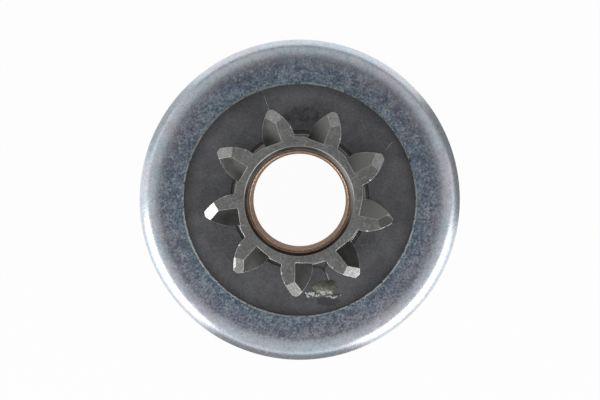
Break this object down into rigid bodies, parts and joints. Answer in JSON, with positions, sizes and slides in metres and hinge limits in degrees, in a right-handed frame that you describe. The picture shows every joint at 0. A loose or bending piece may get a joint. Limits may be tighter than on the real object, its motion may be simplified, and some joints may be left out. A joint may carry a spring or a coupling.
{
  "type": "starter drive",
  "caption": "Starter motor drive: spur pinion with a one-way roller clutch in a plated shell, splined sleeve, cushion spring and shift collar.",
  "frame": {"origin": "centre of the base: the drive stands on the rear end of its sleeve, and the origin is on the clutch axis at that end", "axes": "+Z along the clutch axis from the sleeve to the pinion face, +X to the picture's right and +Y to its top"},
  "size_m": [0.0558, 0.0556, 0.078],
  "materials": {
    "pinion_steel": "milled, dull grey",
    "bushing_bronze": "dull oiled bronze",
    "retainer_steel": "dark, oiled",
    "zinc_plate": "zinc plated, softly mottled",
    "forged_steel": "turned and oiled",
    "washer_steel": "ground",
    "collar_steel": "turned",
    "roller_steel": "ground and polished",
    "spring_steel": "oiled spring wire"
  },
  "bodies": {
    "drive": {"clutch_body": "forged_steel", "clutch_shell": "zinc_plate", "retainer_half_left": "retainer_steel", "retainer_half_right": "retainer_steel", "race_thrust_washer": "washer_steel", "meshing_spring": "spring_steel", "stop_ring": "collar_steel", "snap_ring": "spring_steel", "roller_spring_1": "spring_steel", "roller_spring_2": "spring_steel", "roller_spring_3": "spring_steel", "roller_spring_4": "spring_steel", "roller_spring_5": "spring_steel"},
    "pinion": {"pinion": "pinion_steel", "pinion_bushing": "bushing_bronze"},
    "spring_seat": {"spring_seat": "washer_steel"},
    "shift_collar": {"shift_collar": "collar_steel"},
    "roller_1": {"roller_1": "roller_steel"},
    "roller_plunger_1": {"roller_plunger_1": "roller_steel"},
    "roller_2": {"roller_2": "roller_steel"},
    "roller_plunger_2": {"roller_plunger_2": "roller_steel"},
    "roller_3": {"roller_3": "roller_steel"},
    "roller_plunger_3": {"roller_plunger_3": "roller_steel"},
    "roller_4": {"roller_4": "roller_steel"},
    "roller_plunger_4": {"roller_plunger_4": "roller_steel"},
    "roller_5": {"roller_5": "roller_steel"},
    "roller_plunger_5": {"roller_plunger_5": "roller_steel"}
  },
  "joints": [
    {"name": "pinion_spin", "type": "hinge", "parent": "drive", "child": "pinion", "pos_m": [0, 0, 0.067], "axis": [0, 0, 1], "continuous": true},
    {"name": "seat_slide", "type": "slide", "parent": "drive", "child": "spring_seat", "axis": [0, 0, 1], "range_m": [0, 0.006], "stiffness_N_per_m": 6000, "springref_m": -0.005, "deforming": ["meshing_spring"]},
    {"name": "collar_spin", "type": "hinge", "parent": "spring_seat", "child": "shift_collar", "pos_m": [0, 0, 0.01065], "axis": [0, 0, 1], "continuous": true},
    {"name": "roller_1_travel", "type": "hinge", "parent": "drive", "child": "roller_1", "pos_m": [0, 0, 0.0465], "axis": [0, 0, 1], "range_deg": [-5, 0], "stiffness_Nm_per_rad": 0.6, "springref_deg": 8.59},
    {"name": "plunger_1_slide", "type": "slide", "parent": "drive", "child": "roller_plunger_1", "axis": [0, 1, 0], "range_m": [-0.0016, 0], "deforming": ["roller_spring_1"]},
    {"name": "roller_2_travel", "type": "hinge", "parent": "drive", "child": "roller_2", "pos_m": [0, 0, 0.0465], "axis": [0, 0, 1], "range_deg": [-5, 0], "stiffness_Nm_per_rad": 0.6, "springref_deg": 8.59},
    {"name": "plunger_2_slide", "type": "slide", "parent": "drive", "child": "roller_plunger_2", "axis": [-0.9511, 0.309, 0], "range_m": [-0.0016, 0], "deforming": ["roller_spring_2"]},
    {"name": "roller_3_travel", "type": "hinge", "parent": "drive", "child": "roller_3", "pos_m": [0, 0, 0.0465], "axis": [0, 0, 1], "range_deg": [-5, 0], "stiffness_Nm_per_rad": 0.6, "springref_deg": 8.59},
    {"name": "plunger_3_slide", "type": "slide", "parent": "drive", "child": "roller_plunger_3", "axis": [-0.5878, -0.809, 0], "range_m": [-0.0016, 0], "deforming": ["roller_spring_3"]},
    {"name": "roller_4_travel", "type": "hinge", "parent": "drive", "child": "roller_4", "pos_m": [0, 0, 0.0465], "axis": [0, 0, 1], "range_deg": [-5, 0], "stiffness_Nm_per_rad": 0.6, "springref_deg": 8.59},
    {"name": "plunger_4_slide", "type": "slide", "parent": "drive", "child": "roller_plunger_4", "axis": [0.5878, -0.809, 0], "range_m": [-0.0016, 0], "deforming": ["roller_spring_4"]},
    {"name": "roller_5_travel", "type": "hinge", "parent": "drive", "child": "roller_5", "pos_m": [0, 0, 0.0465], "axis": [0, 0, 1], "range_deg": [-5, 0], "stiffness_Nm_per_rad": 0.6, "springref_deg": 8.59},
    {"name": "plunger_5_slide", "type": "slide", "parent": "drive", "child": "roller_plunger_5", "axis": [0.9511, 0.309, 0], "range_m": [-0.0016, 0], "deforming": ["roller_spring_5"]}
  ],
  "couplings": [
    {"joint": "plunger_1_slide", "follows": "roller_1_travel", "m_per_rad": 0.0173},
    {"joint": "plunger_2_slide", "follows": "roller_2_travel", "m_per_rad": 0.0173},
    {"joint": "plunger_3_slide", "follows": "roller_3_travel", "m_per_rad": 0.0173},
    {"joint": "plunger_4_slide", "follows": "roller_4_travel", "m_per_rad": 0.0173},
    {"joint": "plunger_5_slide", "follows": "roller_5_travel", "m_per_rad": 0.0173}
  ]
}
